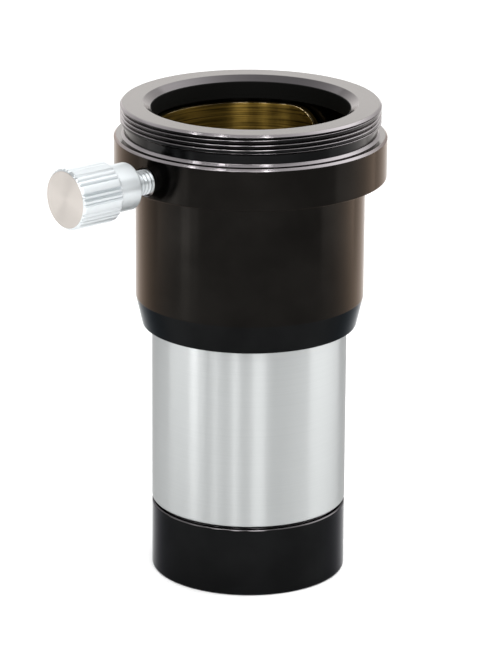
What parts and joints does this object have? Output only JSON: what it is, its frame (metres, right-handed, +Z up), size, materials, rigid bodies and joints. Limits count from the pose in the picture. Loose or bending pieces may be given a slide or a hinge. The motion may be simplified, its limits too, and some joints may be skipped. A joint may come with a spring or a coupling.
{
  "type": "telescope eyepiece focal extender",
  "caption": "Black and silver push-fit telescope eyepiece extender: open eyepiece socket with brass clamping ring and knurled thumbscrew, camera thread round the mouth, lens cell at the foot.",
  "frame": {"origin": "on the optical axis at the lens cell's standing face", "axes": "+Z up the optical axis towards the eyepiece; the thumbscrew lies along -X; Y is across the two"},
  "size_m": [0.06, 0.044, 0.0788],
  "materials": {
    "black_anodised": "turned aluminium, gloss black anodised",
    "turned_aluminium": "fine turned, clear anodised",
    "lens_glass": "polished, anti-reflection coated",
    "brushed_brass": "rolled spring brass, brushed round the ring",
    "bright_screw": "turned, clear anodised, straight knurled grip"
  },
  "bodies": {
    "holder": {"eyepiece_holder": "black_anodised", "barrel": "turned_aluminium"},
    "clamp_ring": {"compression_ring": "brushed_brass"},
    "stud": {"thumbscrew_stud": "bright_screw"},
    "knob": {"thumbscrew_head": "bright_screw"},
    "lenses": {"negative_element": "lens_glass", "positive_element": "lens_glass"},
    "cell": {"lens_cell": "black_anodised", "retaining_ring": "black_anodised"}
  },
  "joints": [
    {"name": "thumbscrew_turn", "type": "hinge", "parent": "stud", "child": "knob", "pos_m": [0, 0, 0.06939], "axis": [-1, 0, 0], "range_deg": [-216, 2268]},
    {"name": "thumbscrew_travel", "type": "slide", "parent": "holder", "child": "stud", "axis": [-1, 0, 0], "range_m": [-0.00042, 0.00441]},
    {"name": "clamp_ring_shift", "type": "slide", "parent": "holder", "child": "clamp_ring", "axis": [1, 0, 0], "range_m": [0, 0.00035]},
    {"name": "cell_turn", "type": "hinge", "parent": "lenses", "child": "cell", "pos_m": [0, 0, 0], "axis": [0, 0, -1], "range_deg": [0, 2399]},
    {"name": "cell_travel", "type": "slide", "parent": "holder", "child": "lenses", "axis": [0, 0, -1], "range_m": [0, 0.004]}
  ],
  "couplings": [
    {"joint": "thumbscrew_turn", "follows": "thumbscrew_travel", "rad_per_m": 8976},
    {"joint": "cell_travel", "follows": "cell_turn", "m_per_rad": 0.000095493}
  ]
}
